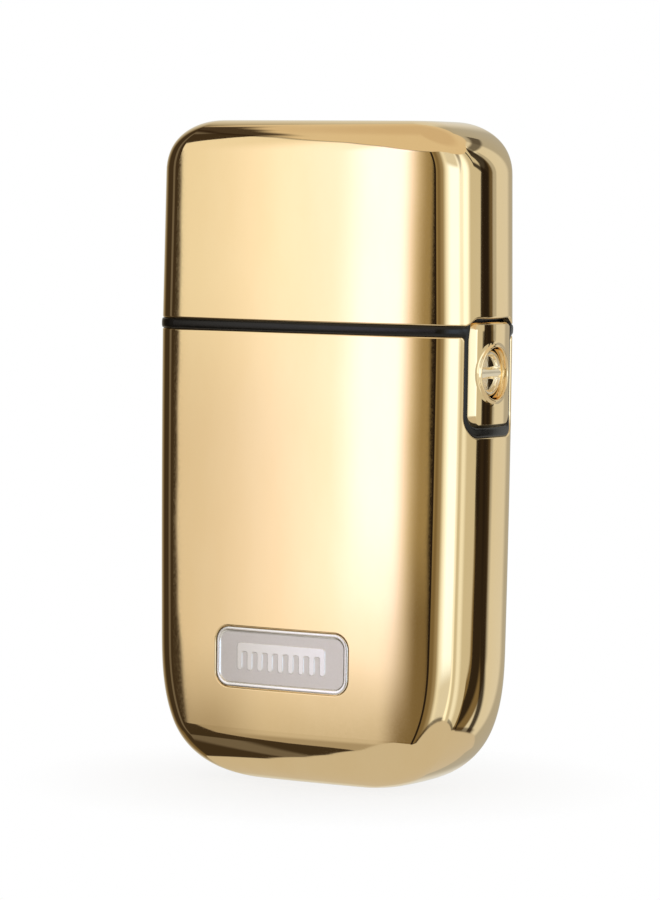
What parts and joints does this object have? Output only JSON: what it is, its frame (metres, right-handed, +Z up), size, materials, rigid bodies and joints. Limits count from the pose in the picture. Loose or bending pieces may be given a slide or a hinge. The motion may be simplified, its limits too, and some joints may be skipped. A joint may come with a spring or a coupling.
{
  "type": "foil shaver",
  "caption": "Slim pocket foil shaver with a mirror-plated body, pull-off cap, side power button and a floating twin-foil head.",
  "frame": {"origin": "centre of the flat foot of the base", "axes": "+Z up towards the foils, -Y the front with the nameplate, +X the side with the power button"},
  "size_m": [0.0606, 0.0246, 0.1085],
  "materials": {
    "gold_plate": "mirror-polished pale gold plating",
    "black_gloss": "gloss",
    "black_plastic": "fine satin",
    "silver_plate": "satin with a polished rim",
    "steel": "fine brushed",
    "nickel": "plated",
    "brass": "machined",
    "white_plastic": "smooth",
    "grey_plastic": "smooth",
    "copper": "enamelled windings",
    "ferrite": "matt",
    "board_green": "solder mask",
    "chip_black": "moulded",
    "cell_wrap": "shrink sleeve",
    "wire_red": "satin",
    "wire_black": "satin",
    "rubber": "matt",
    "clear": "clear"
  },
  "bodies": {
    "body": {"body_shell": "gold_plate", "trim_band": "black_gloss", "switch_panel": "gold_plate", "nameplate": "silver_plate", "head_base": "black_plastic", "shaft_seal": "rubber", "cassette_frame": "black_plastic", "guide_rod_front": "steel", "guide_rod_rear": "steel", "motor_can": "steel", "motor_end_bell": "white_plastic", "motor_bushes": "brass", "motor_magnets": "ferrite", "motor_terminals": "nickel", "motor_screws": "steel", "chassis_rear": "grey_plastic", "chassis_front": "grey_plastic", "chassis_screws": "steel", "deck_screws": "steel", "battery_cell": "cell_wrap", "battery_tabs": "nickel", "battery_lead_red": "wire_red", "battery_lead_black": "wire_black", "main_board": "board_green", "board_chips": "chip_black", "charge_led": "clear", "light_pipe": "clear", "usb_socket": "nickel", "usb_tongue": "chip_black", "switch_board": "board_green", "tact_switch": "chip_black", "switch_lead": "wire_black", "motor_lead_red": "wire_red", "motor_lead_black": "wire_black", "release_spring_left": "steel", "release_spring_right": "steel"},
    "cap": {"cap": "gold_plate"},
    "power_button": {"power_button": "gold_plate"},
    "rotor": {"motor_armature": "copper", "motor_shaft": "steel", "cam": "white_plastic"},
    "bridge": {"oscillating_bridge": "white_plastic", "cutter_spring_front": "steel", "cutter_spring_rear": "steel"},
    "foil_front": {"foil_front": "steel", "foil_frame_front": "black_plastic"},
    "foil_rear": {"foil_rear": "steel", "foil_frame_rear": "black_plastic"},
    "cutter_front": {"cutter_blades_front": "steel", "cutter_carrier_front": "white_plastic"},
    "cutter_rear": {"cutter_blades_rear": "steel", "cutter_carrier_rear": "white_plastic"},
    "release_left": {"release_button_left": "black_plastic"},
    "release_right": {"release_button_right": "black_plastic"}
  },
  "joints": [
    {"name": "cap_lift", "type": "slide", "parent": "body", "child": "cap", "axis": [0, 0, 1], "range_m": [0, 0.045]},
    {"name": "power_press", "type": "slide", "parent": "body", "child": "power_button", "axis": [-1, 0, 0], "range_m": [0, 0.0005], "stiffness_N_per_m": 1200, "springref_m": -0.0005},
    {"name": "motor_spin", "type": "hinge", "parent": "body", "child": "rotor", "pos_m": [0, 0, 0.055], "axis": [0, 0, 1], "range_deg": [-90, 90]},
    {"name": "bridge_oscillation", "type": "slide", "parent": "body", "child": "bridge", "axis": [1, 0, 0], "range_m": [-0.001, 0.001]},
    {"name": "foil_front_float", "type": "slide", "parent": "body", "child": "foil_front", "axis": [0, 0, -1], "range_m": [0, 0.001], "stiffness_N_per_m": 900, "springref_m": -0.0008},
    {"name": "foil_rear_float", "type": "slide", "parent": "body", "child": "foil_rear", "axis": [0, 0, -1], "range_m": [0, 0.001], "stiffness_N_per_m": 900, "springref_m": -0.0008},
    {"name": "cutter_front_float", "type": "slide", "parent": "bridge", "child": "cutter_front", "axis": [0, 0, -1], "range_m": [0, 0.001], "deforming": ["cutter_spring_front"]},
    {"name": "cutter_rear_float", "type": "slide", "parent": "bridge", "child": "cutter_rear", "axis": [0, 0, -1], "range_m": [0, 0.001], "deforming": ["cutter_spring_rear"]},
    {"name": "release_left_press", "type": "slide", "parent": "body", "child": "release_left", "axis": [1, 0, 0], "range_m": [0, 0.0012], "stiffness_N_per_m": 900, "springref_m": -0.001, "deforming": ["release_spring_left"]},
    {"name": "release_right_press", "type": "slide", "parent": "body", "child": "release_right", "axis": [-1, 0, 0], "range_m": [0, 0.0012], "stiffness_N_per_m": 900, "springref_m": -0.001, "deforming": ["release_spring_right"]}
  ],
  "couplings": [
    {"joint": "bridge_oscillation", "follows": "motor_spin", "m_per_rad": 0.00063662},
    {"joint": "cutter_front_float", "follows": "foil_front_float", "ratio": 1},
    {"joint": "cutter_rear_float", "follows": "foil_rear_float", "ratio": 1}
  ]
}
